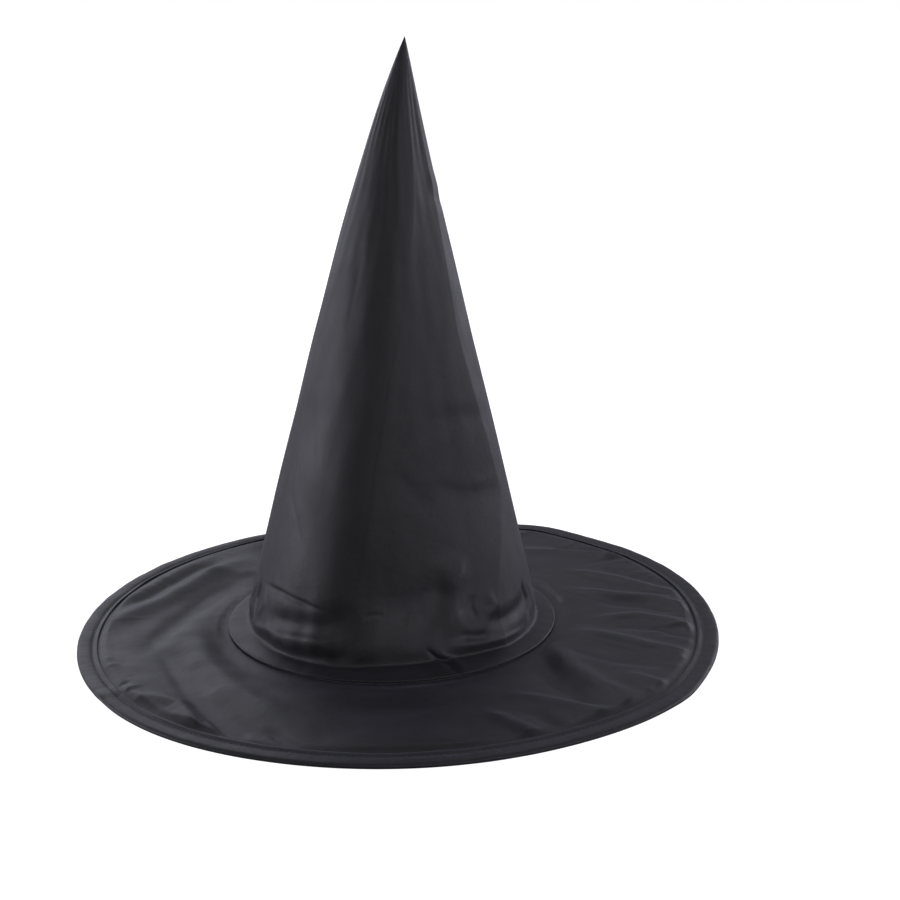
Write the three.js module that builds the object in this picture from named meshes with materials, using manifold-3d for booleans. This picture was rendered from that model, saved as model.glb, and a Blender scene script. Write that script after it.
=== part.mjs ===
// A witch hat of black satin: a tall pointed crown, sewn to a wide flat brim with a bound edge.
// Millimetres, +Z up. The origin is the middle of the brim, on the surface that the hat stands on.
// The front of the hat faces -Y and its one back seam is at +Y.

import * as THREE from "three";
import { mergeVertices } from "three/addons/utils/BufferGeometryUtils.js";
import Module from "manifold-3d";

const wasm = await Module();
wasm.setup();

// Driving dimensions
const HAT_HEIGHT = 340;
const BRIM_RADIUS = 190;
const SEAM_RADIUS = 96; // the seam between crown and brim, 603 mm round
const FOOT_RADIUS = 85; // the crown's wall where it rises out of its turned-out foot
const FOOT_HEIGHT = 14;
const CROWN_SHIFT = -5; // the crown stands this far to one side of the brim's middle
const TIP_LEAN = 9; // how far the crown leans to +X over its height
const TIP_HOOK = 6; // how much further its point hooks that way

// Cloth
const CLOTH = 0.4;
const PLY_GAP = 0.15;
const STIFFENER = 0.7;
const INTERLINING = 0.6;
const THREAD = 0.25;
const THREAD_WIDTH = 0.5;

// Bound edge
const BINDING_WIDTH = 12;
const CHANNEL_WIDTH = 6.5; // the outer stretch of the binding, which holds the hoop
const EDGE_THICKNESS = 3.3;
const STITCH_INSET = 3; // the stitches run this far from the binding's inner edge

const AROUND = 48; // facets in a full turn
const FULL_TURN = Math.PI * 2;
const BACK = Math.PI / 2; // the azimuth of the back seam

const CHANNEL_RADIUS = BRIM_RADIUS - CHANNEL_WIDTH;
const BINDING_INNER = BRIM_RADIUS - BINDING_WIDTH;
const STITCH_RADIUS = BINDING_INNER + STITCH_INSET;
const BRIM_OUTER = CHANNEL_RADIUS - 0.6; // the brim's plies stop at the hoop's channel
const BRIM_INNER = SEAM_RADIUS - 1;
const BRIM_LIFT = 2; // the brim rises this much from its edge to the head seam

// Materials
function cloth(colour, roughness) {
  return new THREE.MeshStandardMaterial({ color: colour, roughness, metalness: 0 });
}
const satin = cloth(0x34343a, 0.48);
const nonWoven = cloth(0x2a2a2c, 0.95);
const tape = cloth(0x38383e, 0.6);
const thread = cloth(0x1c1c1f, 0.7);
const labelCloth = cloth(0xd8d6d0, 0.7);
const steel = new THREE.MeshStandardMaterial({ color: 0x9a9ca0, roughness: 0.35, metalness: 1 });

function named(name, geometry, material) {
  const mesh = new THREE.Mesh(geometry, material);
  mesh.name = name;
  return mesh;
}

// Turns a profile of [radius, height] points about the Z axis. The profile runs up the outside.
function turned(profile) {
  const points = profile.map(([radius, height]) => new THREE.Vector2(radius, height));
  return new THREE.LatheGeometry(points, AROUND).rotateX(Math.PI / 2);
}

// A closed ring of rectangular section.
function ring(inner, outer, low, high) {
  return turned([
    [inner, low],
    [outer, low],
    [outer, high],
    [inner, high],
    [inner, low],
  ]);
}

// Joins a row of four-cornered sections, each a list of THREE.Vector3, into one closed solid.
function loft(sections) {
  const corners = sections[0].length;
  const last = (sections.length - 1) * corners;
  const index = [];
  for (let s = 0; s < sections.length - 1; s++) {
    for (let c = 0; c < corners; c++) {
      const a = s * corners + c;
      const b = s * corners + ((c + 1) % corners);
      index.push(a, b, b + corners, a, b + corners, a + corners);
    }
  }
  index.push(0, 2, 1, 0, 3, 2, last, last + 1, last + 2, last, last + 2, last + 3);
  return new THREE.BufferGeometry().setFromPoints(sections.flat()).setIndex(index);
}

// The strip of rectangular section that runs along an arc about the Z axis.
function arcStrip(inner, outer, low, high, from, to, steps) {
  const sections = [];
  for (let i = 0; i <= steps; i++) {
    const angle = from + ((to - from) * i) / steps;
    const at = (radius, height) =>
      new THREE.Vector3(radius * Math.cos(angle), radius * Math.sin(angle), height);
    sections.push([at(inner, low), at(inner, high), at(outer, high), at(outer, low)]);
  }
  return loft(sections);
}

function toSolid(geometry) {
  const bare = geometry.clone();
  bare.deleteAttribute("normal");
  bare.deleteAttribute("uv");
  const merged = mergeVertices(bare, 1e-4);
  return new wasm.Manifold(
    new wasm.Mesh({
      numProp: 3,
      vertProperties: merged.attributes.position.array,
      triVerts: new Uint32Array(merged.index.array),
    }),
  );
}

function toGeometry(solid) {
  const mesh = solid.getMesh();
  return new THREE.BufferGeometry()
    .setAttribute("position", new THREE.BufferAttribute(mesh.vertProperties, 3))
    .setIndex(new THREE.BufferAttribute(mesh.triVerts, 1));
}

// Moves each vertex along X by what shift(radius, height) says.
function swayed(geometry, shift) {
  const position = geometry.getAttribute("position");
  for (let i = 0; i < position.count; i++) {
    const radius = Math.hypot(position.getX(i), position.getY(i));
    position.setX(i, position.getX(i) + shift(radius, position.getZ(i)));
  }
  return geometry;
}

// The crown

// Share of the way up the wall, 0 at its foot and 1 at the point.
function share(height) {
  return Math.max(0, (height - FOOT_HEIGHT) / (HAT_HEIGHT - FOOT_HEIGHT));
}

// The wall's outer radius: a cone that swells a little towards its middle.
function wallRadius(height) {
  return FOOT_RADIUS * Math.pow(1 - share(height), 0.93);
}

function lean(height) {
  return TIP_LEAN * share(height) + TIP_HOOK * Math.pow(share(height), 6);
}

const leaning = (geometry) => swayed(geometry, (radius, height) => lean(height));

// Heights of the rings of facets that the wall and its lining share.
const WALL_RINGS = [FOOT_HEIGHT, 44, 78, 114, 152, 190, 228, 262, 290, 310, 326];
const LINED_RINGS = WALL_RINGS.slice(0, -1);

// The wall's profile through some of its rings, a given depth of cloth inside its outer face.
function wallProfile(rings, depth) {
  return rings.map((height) => [wallRadius(height) - depth, height]);
}

// The soft foot: out from the seam's turned edge, over a round lip and in to the wall.
const SEAM_HEIGHT = 5.4;
function footProfile() {
  const curve = new THREE.CubicBezierCurve(
    new THREE.Vector2(SEAM_RADIUS, SEAM_HEIGHT + 0.4),
    new THREE.Vector2(SEAM_RADIUS + 0.8, SEAM_HEIGHT + 5),
    new THREE.Vector2(FOOT_RADIUS + 0.6, SEAM_HEIGHT + 3.5),
    new THREE.Vector2(FOOT_RADIUS, FOOT_HEIGHT),
  );
  return curve.getPoints(7).map((p) => [p.x, p.y]);
}

function crownCloth() {
  const innerPoint = 4; // the cavity's point is this far above the last ring
  const foot = footProfile();
  const footInside = foot.slice(1, -1).map(([radius, height]) => [radius - 0.25, height - CLOTH]);
  const inside = [...footInside, ...wallProfile(WALL_RINGS, CLOTH)];
  return leaning(
    turned([
      [0, WALL_RINGS.at(-1) + innerPoint],
      ...inside.reverse(),
      [SEAM_RADIUS - CLOTH - 0.5, SEAM_HEIGHT],
      [SEAM_RADIUS - 0.2, SEAM_HEIGHT],
      ...foot,
      ...wallProfile(WALL_RINGS.slice(1), 0),
      [0, HAT_HEIGHT],
    ]),
  );
}

const INTERLINING_DEPTH = CLOTH + PLY_GAP;
const LINED_DEPTH = INTERLINING_DEPTH + INTERLINING;

function crownInterlining() {
  const outside = wallProfile(LINED_RINGS, INTERLINING_DEPTH);
  const inside = wallProfile(LINED_RINGS, LINED_DEPTH);
  return leaning(turned([...outside, ...inside.reverse(), outside[0]]));
}

// A flat strip that runs up the inside of the wall at the back seam.
function wallStrip(left, right, outerDepth, thickness, from, to) {
  const sections = [];
  const steps = 8;
  const halfWidth = Math.max(Math.abs(left), Math.abs(right));
  for (let i = 0; i <= steps; i++) {
    const z = from + ((to - from) * i) / steps;
    const radius = wallRadius(z) - LINED_DEPTH;
    const outer = Math.sqrt(radius * radius - halfWidth * halfWidth) - outerDepth;
    const inner = outer - thickness;
    const at = (x, y) => new THREE.Vector3(x + lean(z), y, z);
    sections.push([at(right, inner), at(right, outer), at(left, outer), at(left, inner)]);
  }
  return loft(sections);
}

const STRIP_GAP = 0.4;
const STRIP_THICKNESS = 2 * CLOTH;
const STRIP_HALF = 4; // half the width of the pressed seam allowance
const STRIP_FROM = 18;
const STRIP_TO = 285;

function crown() {
  const group = new THREE.Group();
  const threadDepth = STRIP_GAP + STRIP_THICKNESS + PLY_GAP;
  const allowance = wallStrip(
    -STRIP_HALF,
    STRIP_HALF,
    STRIP_GAP,
    STRIP_THICKNESS,
    STRIP_FROM,
    STRIP_TO,
  );
  const stitches = wallStrip(
    -THREAD_WIDTH / 2,
    THREAD_WIDTH / 2,
    threadDepth + 0.6,
    THREAD,
    STRIP_FROM + 4,
    STRIP_TO - 4,
  );
  group.add(
    named("crown_cloth", crownCloth(), satin),
    named("crown_interlining", crownInterlining(), nonWoven),
    named("crown_seam_allowance", allowance, satin),
    named("crown_seam_stitching", stitches, thread),
  );
  return group;
}

// The head seam

const BRIM_TOP = EDGE_THICKNESS - CLOTH - PLY_GAP; // the brim's upper face beside the binding
const SEAM_FLOOR = BRIM_TOP + BRIM_LIFT; // the same face at the head seam
const ALLOWANCE_WIDTH = 7.6;
const ALLOWANCE_LOW = 3.15;
const ALLOWANCE_HIGH = 5;
const LABEL_WIDTH = 20;
const LABEL_AZIMUTH = BACK - 0.35;

// The tape folded over the raw plies, open towards the brim.
function headSeamBinding() {
  const inner = BRIM_INNER - ALLOWANCE_WIDTH - 0.3 - PLY_GAP;
  const outer = BRIM_INNER - 1;
  const low = ALLOWANCE_LOW - PLY_GAP;
  const high = ALLOWANCE_HIGH + PLY_GAP;
  return turned([
    [inner - CLOTH, low - CLOTH],
    [outer, low - CLOTH],
    [outer, low],
    [inner, low],
    [inner, high],
    [outer, high],
    [outer, high + CLOTH],
    [inner - CLOTH, high + CLOTH],
    [inner - CLOTH, low - CLOTH],
  ]);
}

// A blank tab caught under the tape, which turns up along the inside of the wall.
function careLabel() {
  const path = [
    [91, 1.9],
    [86, 1.9],
    [82.8, 4.5],
    [81.6, 12],
    [77, 30],
  ];
  const sections = path.map(([radius, height], i) => {
    const before = path[Math.max(0, i - 1)];
    const after = path[Math.min(path.length - 1, i + 1)];
    const along = new THREE.Vector2(after[0] - before[0], after[1] - before[1]).normalize();
    const normal = [(-along.y * CLOTH) / 2, (along.x * CLOTH) / 2];
    const corner = (side, face) => {
      const r = radius + normal[0] * face;
      return new THREE.Vector3(r, (side * LABEL_WIDTH) / 2, height + normal[1] * face);
    };
    return [corner(1, -1), corner(1, 1), corner(-1, 1), corner(-1, -1)];
  });
  return loft(sections).rotateZ(LABEL_AZIMUTH);
}

function headSeam() {
  const group = new THREE.Group();
  const plies = ring(
    BRIM_INNER - 0.3 - ALLOWANCE_WIDTH,
    BRIM_INNER - 0.3,
    ALLOWANCE_LOW,
    ALLOWANCE_HIGH,
  );
  const seamThread = ring(
    BRIM_INNER + 0.2,
    BRIM_INNER + 0.7,
    SEAM_FLOOR + 0.15,
    SEAM_HEIGHT - 0.15,
  );
  const tapeThread = ring(92, 92 + THREAD_WIDTH, 2.2, 2.2 + THREAD);
  group.add(
    named("head_seam_allowance", plies, nonWoven),
    named("head_seam_stitching", seamThread, thread),
    named("head_seam_binding", headSeamBinding(), tape),
    named("head_binding_stitching", tapeThread, thread),
    named("care_label", careLabel(), labelCloth),
  );
  return group;
}

// The brim

// How far the brim's plies rise above their level at the edge.
function brimLift(radius) {
  const inwards = (BRIM_OUTER - radius) / (BRIM_OUTER - BRIM_INNER);
  return BRIM_LIFT * inwards * inwards;
}

// The inner edge of each ply follows the crown to one side, and the outer edge stays.
function towardsCrown(radius) {
  const inwards = (BRIM_OUTER - radius) / (BRIM_OUTER - BRIM_INNER);
  return CROWN_SHIFT * Math.min(1, Math.max(0, inwards));
}

// One ply of the brim, between two levels at its edge.
function brimPly(low, high) {
  const steps = 4;
  const under = [];
  for (let i = 0; i <= steps; i++) {
    const radius = BRIM_INNER + ((BRIM_OUTER - BRIM_INNER) * i) / steps;
    under.push([radius, low + brimLift(radius)]);
  }
  const over = under.map(([radius, height]) => [radius, height + high - low]);
  return swayed(turned([...under, ...over.reverse(), under[0]]), towardsCrown);
}

// The tape folded over the brim's edge. Its channel rests on the surface and its hem is raised.
function foldedTape() {
  const radius = EDGE_THICKNESS / 2;
  const centre = BRIM_RADIUS - radius;
  const arc = (r, from, to, steps) => {
    const points = [];
    for (let i = 0; i <= steps; i++) {
      const angle = from + ((to - from) * i) / steps;
      points.push([centre + r * Math.cos(angle), radius + r * Math.sin(angle)]);
    }
    return points;
  };
  return turned([
    [BINDING_INNER, CLOTH],
    [CHANNEL_RADIUS - 0.8, CLOTH],
    [CHANNEL_RADIUS + 0.2, 0],
    ...arc(radius, -Math.PI / 2, Math.PI / 2, 4),
    [BINDING_INNER, EDGE_THICKNESS],
    [BINDING_INNER, EDGE_THICKNESS - CLOTH],
    ...arc(radius - CLOTH, Math.PI / 2, -Math.PI / 2, 4),
    [CHANNEL_RADIUS + 0.4, CLOTH],
    [CHANNEL_RADIUS - 0.6, 2 * CLOTH],
    [BINDING_INNER, 2 * CLOTH],
    [BINDING_INNER, CLOTH],
  ]);
}

const LAP_AZIMUTH = 3.69;
const LAP_LENGTH = 12;

// The tape's end is turned under and lies over its start.
function edgeBinding() {
  const half = LAP_LENGTH / 2 / BRIM_RADIUS;
  const sunk = 0.1;
  const lap = arcStrip(
    STITCH_RADIUS + 2 * THREAD_WIDTH,
    BRIM_RADIUS - EDGE_THICKNESS / 2,
    EDGE_THICKNESS - sunk,
    EDGE_THICKNESS + CLOTH,
    LAP_AZIMUTH - half,
    LAP_AZIMUTH + half,
    2,
  );
  return toGeometry(toSolid(foldedTape()).add(toSolid(lap)));
}

const HOOP_INNER = CHANNEL_RADIUS + 0.5;
const HOOP_WIDTH = 3.8;
const HOOP_THICKNESS = 0.5;
const HOOP_LOW = EDGE_THICKNESS / 2 - HOOP_THICKNESS / 2;
const JOINER_AZIMUTH = 1.01;
const JOINER_LENGTH = 22;
const JOINER_WALL = 0.4;
const JOINER_PLAY = 0.15; // above and below the hoop
const JOINER_SIDE_PLAY = 0.3;

// A sprung strip, whose two ends meet inside the joiner.
function brimHoop() {
  const endGap = 0.5 / BRIM_RADIUS;
  return arcStrip(
    HOOP_INNER,
    HOOP_INNER + HOOP_WIDTH,
    HOOP_LOW,
    HOOP_LOW + HOOP_THICKNESS,
    JOINER_AZIMUTH + endGap,
    JOINER_AZIMUTH + FULL_TURN - endGap,
    96,
  );
}

function hoopJoiner() {
  const half = JOINER_LENGTH / 2 / BRIM_RADIUS;
  const block = (sideways, upwards, extra) =>
    toSolid(
      arcStrip(
        HOOP_INNER - sideways,
        HOOP_INNER + HOOP_WIDTH + sideways,
        HOOP_LOW - upwards,
        HOOP_LOW + HOOP_THICKNESS + upwards,
        JOINER_AZIMUTH - half - extra,
        JOINER_AZIMUTH + half + extra,
        4,
      ),
    );
  const outside = block(JOINER_SIDE_PLAY + JOINER_WALL, JOINER_PLAY + JOINER_WALL, 0);
  return toGeometry(outside.subtract(block(JOINER_SIDE_PLAY, JOINER_PLAY, 0.01)));
}

function brim() {
  const group = new THREE.Group();
  const underLow = 2 * CLOTH + PLY_GAP;
  const stiffenerLow = underLow + CLOTH + PLY_GAP;
  const topLow = stiffenerLow + STIFFENER + PLY_GAP;
  const inner = STITCH_RADIUS;
  const outer = STITCH_RADIUS + THREAD_WIDTH;
  const bobbinHigh = CLOTH - 0.1;
  const needleLow = EDGE_THICKNESS + 0.1;
  const needle = ring(inner, outer, needleLow, needleLow + THREAD);
  const bobbin = ring(inner, outer, bobbinHigh - THREAD, bobbinHigh);
  group.add(
    named("brim_under_cloth", brimPly(underLow, underLow + CLOTH), satin),
    named("brim_stiffener", brimPly(stiffenerLow, stiffenerLow + STIFFENER), nonWoven),
    named("brim_top_cloth", brimPly(topLow, topLow + CLOTH), satin),
    named("edge_binding", edgeBinding(), tape),
    named("edge_needle_thread", needle, thread),
    named("edge_bobbin_thread", bobbin, thread),
    named("brim_hoop", brimHoop(), steel),
    named("hoop_joiner", hoopJoiner(), steel),
  );
  return group;
}

const upper = new THREE.Group();
upper.position.x = CROWN_SHIFT;
upper.add(crown(), headSeam());

const hat = new THREE.Group();
hat.add(upper, brim());

export default hat;
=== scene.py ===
"""A black satin witch hat on a white studio floor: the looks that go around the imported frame."""

import bpy
import math
import numpy as np
from mathutils import Matrix, Vector


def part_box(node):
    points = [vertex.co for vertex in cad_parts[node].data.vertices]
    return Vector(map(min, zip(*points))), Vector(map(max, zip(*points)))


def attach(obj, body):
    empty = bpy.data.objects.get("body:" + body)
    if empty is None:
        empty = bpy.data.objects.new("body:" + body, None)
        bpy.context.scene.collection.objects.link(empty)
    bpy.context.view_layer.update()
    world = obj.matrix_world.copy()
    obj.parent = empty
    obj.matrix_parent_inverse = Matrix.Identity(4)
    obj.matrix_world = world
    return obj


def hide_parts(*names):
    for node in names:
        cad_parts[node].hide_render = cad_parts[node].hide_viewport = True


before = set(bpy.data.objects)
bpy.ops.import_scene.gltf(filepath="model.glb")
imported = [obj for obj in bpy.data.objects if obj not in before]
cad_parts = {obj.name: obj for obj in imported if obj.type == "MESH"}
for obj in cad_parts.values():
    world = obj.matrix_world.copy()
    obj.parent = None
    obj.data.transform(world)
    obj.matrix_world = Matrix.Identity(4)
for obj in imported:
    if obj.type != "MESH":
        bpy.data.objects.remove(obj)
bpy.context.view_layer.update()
scene = bpy.context.scene
scene.view_settings.view_transform = "Standard"
scene.view_settings.look = "None"

MM = 0.001

# Sizes, in millimetres, as the frame has them
BRIM_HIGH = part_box("brim_top_cloth")[1]
EDGE_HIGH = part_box("edge_binding")[1]
CROWN_LOW, CROWN_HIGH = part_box("crown_cloth")
HAT_HEIGHT = CROWN_HIGH.z / MM
BRIM_RADIUS = EDGE_HIGH.x / MM
SEAM_RADIUS = (CROWN_HIGH.y - CROWN_LOW.y) / 2 / MM
CROWN_X = (CROWN_HIGH.x + CROWN_LOW.x) / 2 / MM
FOOT_RADIUS = 85.0
FOOT_HEIGHT = 14.0
TIP_LEAN = 9.0
TIP_HOOK = 6.0
CLOTH = 0.4
BINDING_INNER = BRIM_RADIUS - 12.0
STITCH_RADIUS = BINDING_INNER + 3.0


# ---------------------------------------------------------------- numbers
def smooth(t):
    t = np.clip(t, 0.0, 1.0)
    return t * t * (3 - 2 * t)


def along(path, x, y):
    """Distance of each point from a polyline, how far along it that is (0 to 1), and on which side."""
    path = np.array(path, float)
    steps = np.linalg.norm(np.diff(path, axis=0), axis=1)
    total = steps.sum()
    best = np.full(x.shape, 1e9)
    share = np.zeros(x.shape)
    side = np.zeros(x.shape)
    walked = 0.0
    for (x0, y0), (x1, y1), length in zip(path[:-1], path[1:], steps):
        dx, dy = (x1 - x0) / length, (y1 - y0) / length
        t = np.clip((x - x0) * dx + (y - y0) * dy, 0, length)
        off_x, off_y = x - x0 - t * dx, y - y0 - t * dy
        d = np.hypot(off_x, off_y)
        near = d < best
        best = np.where(near, d, best)
        share = np.where(near, (walked + t) / total, share)
        side = np.where(near, np.sign(dx * off_y - dy * off_x), side)
        walked += length
    return best, share, side


def stroke(x, y, path, height, wide, other, sharp, fade=0.3):
    """A ridge (height above 0) or crease (below 0) along a path, wide on its left and other on its right."""
    reach = 4 * max(wide, other)
    path = np.array(path, float)
    out = np.zeros(x.shape)
    near = (
        (x > path[:, 0].min() - reach)
        & (x < path[:, 0].max() + reach)
        & (y > path[:, 1].min() - reach)
        & (y < path[:, 1].max() + reach)
    )
    if not near.any():
        return out
    d, share, side = along(path, x[near], y[near])
    width = np.where(side > 0, wide, other)
    ends = smooth(share / fade) * smooth((1 - share) / fade)
    out[near] = height * np.exp(-((d / width) ** sharp)) * ends
    return out


def waves(seed, turns, angle, y, span, count=10, low=1):
    """Smooth random waves that close after a turn: turns is the most waves round, span their height in mm."""
    rng = np.random.default_rng(seed)
    out = np.zeros(np.broadcast(angle, y).shape)
    for _ in range(count):
        n = rng.integers(low, turns + 1)
        k = rng.uniform(-1, 1) * 2 * math.pi / span
        out = out + rng.uniform(0.4, 1.0) * np.sin(n * angle + k * y + rng.uniform(0, 2 * math.pi))
    return out / math.sqrt(count)


# ---------------------------------------------------------------- meshes
def make_object(name, vertices, faces, material, uv=None):
    mesh = bpy.data.meshes.new(name)
    mesh.from_pydata((np.asarray(vertices) * MM).tolist(), [], [list(map(int, f)) for f in faces])
    if uv is not None:
        layer = mesh.uv_layers.new(name="UVMap")
        loops = np.empty(len(mesh.loops), dtype=np.int32)
        mesh.loops.foreach_get("vertex_index", loops)
        layer.data.foreach_set("uv", np.asarray(uv, float)[loops].ravel())
    mesh.polygons.foreach_set("use_smooth", [True] * len(mesh.polygons))
    mesh.materials.append(material)
    mesh.update()
    obj = bpy.data.objects.new(name, mesh)
    scene.collection.objects.link(obj)
    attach(obj, "root")
    return obj


def grid_faces(rows, columns, close_columns=True):
    """Quads of a grid whose rows run one after the other, each of so many columns."""
    r = np.arange(rows - 1)
    c = np.arange(columns if close_columns else columns - 1)
    r, c = np.meshgrid(r, c, indexing="ij")
    r2, c2 = r + 1, (c + 1) % columns
    quads = np.stack([r * columns + c, r * columns + c2, r2 * columns + c2, r2 * columns + c], axis=-1)
    return quads.reshape(-1, 4)


def solidify(obj, thickness, offset=-1.0):
    mod = obj.modifiers.new("cloth", "SOLIDIFY")
    mod.thickness = thickness * MM
    mod.offset = offset
    mod.use_even_offset = False
    return obj


# ---------------------------------------------------------------- materials
def node(tree, kind, **values):
    made = tree.nodes.new(kind)
    for key, value in values.items():
        setattr(made, key, value)
    return made


def math_node(tree, operation, a, b=None):
    made = node(tree, "ShaderNodeMath", operation=operation)
    for i, value in enumerate((a, b)):
        if value is None:
            continue
        if isinstance(value, (int, float)):
            made.inputs[i].default_value = value
        else:
            tree.links.new(value, made.inputs[i])
    return made.outputs[0]


def noise(tree, vector, scale, detail=3.0, rough=0.55):
    made = node(tree, "ShaderNodeTexNoise")
    made.inputs["Scale"].default_value = scale
    made.inputs["Detail"].default_value = detail
    made.inputs["Roughness"].default_value = rough
    tree.links.new(vector, made.inputs["Vector"])
    return made.outputs["Fac"]


def spread(tree, value, low, high, out_low, out_high):
    made = node(tree, "ShaderNodeMapRange", clamp=True)
    tree.links.new(value, made.inputs["Value"])
    for key, v in (("From Min", low), ("From Max", high), ("To Min", out_low), ("To Max", out_high)):
        made.inputs[key].default_value = v
    return made.outputs["Result"]


def mix_colour(tree, share, a, b):
    made = node(tree, "ShaderNodeMix", data_type="RGBA")
    tree.links.new(share, made.inputs["Factor"])
    made.inputs["A"].default_value = (*a, 1)
    made.inputs["B"].default_value = (*b, 1)
    return made.outputs["Result"]


def bump(tree, height, strength, distance, normal=None):
    made = node(tree, "ShaderNodeBump")
    made.inputs["Strength"].default_value = strength
    made.inputs["Distance"].default_value = distance
    tree.links.new(height, made.inputs["Height"])
    if normal is not None:
        tree.links.new(normal, made.inputs["Normal"])
    return made.outputs["Normal"]


def new_material(name):
    made = bpy.data.materials.new(name)
    made.use_nodes = True
    tree = made.node_tree
    return made, tree, tree.nodes["Principled BSDF"]


def satin(name, dark, light, yarn=0.34):
    """Satin weave: long floats with a step to the side in each row. UVs are in millimetres."""
    made, tree, shader = new_material(name)
    links = tree.links
    coords = node(tree, "ShaderNodeTexCoord")
    uv, place = coords.outputs["UV"], coords.outputs["Object"]
    split = node(tree, "ShaderNodeSeparateXYZ")
    links.new(uv, split.inputs[0])
    u, v = split.outputs["X"], split.outputs["Y"]
    across = math_node(tree, "MULTIPLY", u, math.pi / yarn)
    ribs = math_node(tree, "ABSOLUTE", math_node(tree, "SINE", across))
    row = math_node(tree, "FLOOR", math_node(tree, "DIVIDE", u, yarn))
    step = math_node(tree, "MULTIPLY", row, 0.4)
    float_at = math_node(tree, "FRACT", math_node(tree, "ADD", math_node(tree, "DIVIDE", v, yarn * 5), step))
    tie = math_node(tree, "LESS_THAN", float_at, 0.16)
    weave = math_node(tree, "SUBTRACT", ribs, math_node(tree, "MULTIPLY", tie, 0.8))

    cloudy = noise(tree, place, 38.0, 3.0)
    fine = noise(tree, place, 900.0, 2.0)
    mottled = math_node(tree, "ADD", cloudy, math_node(tree, "MULTIPLY", fine, 0.35))
    share = math_node(tree, "SUBTRACT", mottled, math_node(tree, "MULTIPLY", tie, 0.10))
    colour = mix_colour(tree, spread(tree, share, 0.40, 0.95, 0, 1), dark, light)
    links.new(colour, shader.inputs["Base Color"])
    worn = math_node(tree, "ADD", cloudy, math_node(tree, "MULTIPLY", tie, 0.15))
    links.new(spread(tree, worn, 0.3, 0.8, 0.42, 0.54), shader.inputs["Roughness"])

    crumple = bump(tree, noise(tree, place, 75.0, 4.0, 0.5), 0.10, 0.004)
    pile = bump(tree, noise(tree, place, 420.0, 2.0), 0.08, 0.0006, crumple)
    links.new(bump(tree, weave, 0.30, 0.00007, pile), shader.inputs["Normal"])
    shader.inputs["Specular IOR Level"].default_value = 0.40
    shader.inputs["Sheen Weight"].default_value = 0.10
    shader.inputs["Sheen Roughness"].default_value = 0.38
    shader.inputs["Sheen Tint"].default_value = (0.80, 0.80, 1.0, 1)
    return made


def non_woven(name, colour):
    """Felted fibres pressed flat, with the small round dots that bond them."""
    made, tree, shader = new_material(name)
    links = tree.links
    place = node(tree, "ShaderNodeTexCoord").outputs["Object"]
    fibres = noise(tree, place, 1400.0, 4.0, 0.7)
    clumps = noise(tree, place, 120.0, 3.0)
    dots = node(tree, "ShaderNodeTexVoronoi")
    dots.inputs["Scale"].default_value = 620.0
    dots.inputs["Randomness"].default_value = 0.25
    links.new(place, dots.inputs["Vector"])
    pressed = spread(tree, dots.outputs["Distance"], 0.18, 0.34, 0, 1)
    share = math_node(tree, "MULTIPLY", math_node(tree, "ADD", fibres, clumps), 0.6)
    lighter = tuple(min(1, c * 1.9) for c in colour)
    links.new(mix_colour(tree, share, colour, lighter), shader.inputs["Base Color"])
    links.new(spread(tree, pressed, 0, 1, 0.62, 0.92), shader.inputs["Roughness"])
    relief = bump(tree, fibres, 0.5, 0.0002)
    links.new(bump(tree, pressed, 0.35, 0.00015, relief), shader.inputs["Normal"])
    shader.inputs["Sheen Weight"].default_value = 0.25
    return made


def plain_weave(name, dark, light, yarn=0.55, rough=(0.55, 0.7)):
    """Tape or ribbon: yarns over one, under one. UVs are in millimetres."""
    made, tree, shader = new_material(name)
    links = tree.links
    coords = node(tree, "ShaderNodeTexCoord")
    split = node(tree, "ShaderNodeSeparateXYZ")
    links.new(coords.outputs["UV"], split.inputs[0])
    wave_u = math_node(tree, "SINE", math_node(tree, "MULTIPLY", split.outputs["X"], math.pi / yarn))
    wave_v = math_node(tree, "SINE", math_node(tree, "MULTIPLY", split.outputs["Y"], math.pi / yarn))
    weave = math_node(tree, "MULTIPLY", wave_u, wave_v)
    cloudy = noise(tree, coords.outputs["Object"], 60.0, 3.0)
    share = math_node(tree, "ADD", cloudy, math_node(tree, "MULTIPLY", weave, 0.12))
    colour = mix_colour(tree, spread(tree, share, 0.3, 0.75, 0, 1), dark, light)
    links.new(colour, shader.inputs["Base Color"])
    links.new(spread(tree, cloudy, 0.3, 0.7, rough[0], rough[1]), shader.inputs["Roughness"])
    crumple = bump(tree, noise(tree, coords.outputs["Object"], 160.0, 3.0), 0.12, 0.0015)
    links.new(bump(tree, weave, 0.5, 0.00012, crumple), shader.inputs["Normal"])
    shader.inputs["Sheen Weight"].default_value = 0.3
    return made


def spun_thread(name, colour):
    """Polyester thread: two plies twisted together."""
    made, tree, shader = new_material(name)
    links = tree.links
    coords = node(tree, "ShaderNodeTexCoord")
    split = node(tree, "ShaderNodeSeparateXYZ")
    links.new(coords.outputs["UV"], split.inputs[0])
    turn = math_node(tree, "ADD", math_node(tree, "MULTIPLY", split.outputs["X"], 2 * math.pi),
                     math_node(tree, "MULTIPLY", split.outputs["Y"], 7.0))
    plies = math_node(tree, "ABSOLUTE", math_node(tree, "SINE", turn))
    fibres = noise(tree, coords.outputs["Object"], 4000.0, 2.0)
    lighter = tuple(min(1, c * 2.2) for c in colour)
    share = math_node(tree, "MULTIPLY", math_node(tree, "ADD", plies, fibres), 0.5)
    links.new(mix_colour(tree, share, colour, lighter), shader.inputs["Base Color"])
    links.new(spread(tree, fibres, 0.3, 0.7, 0.45, 0.65), shader.inputs["Roughness"])
    links.new(bump(tree, plies, 0.6, 0.00008), shader.inputs["Normal"])
    shader.inputs["Sheen Weight"].default_value = 0.3
    return made


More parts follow.
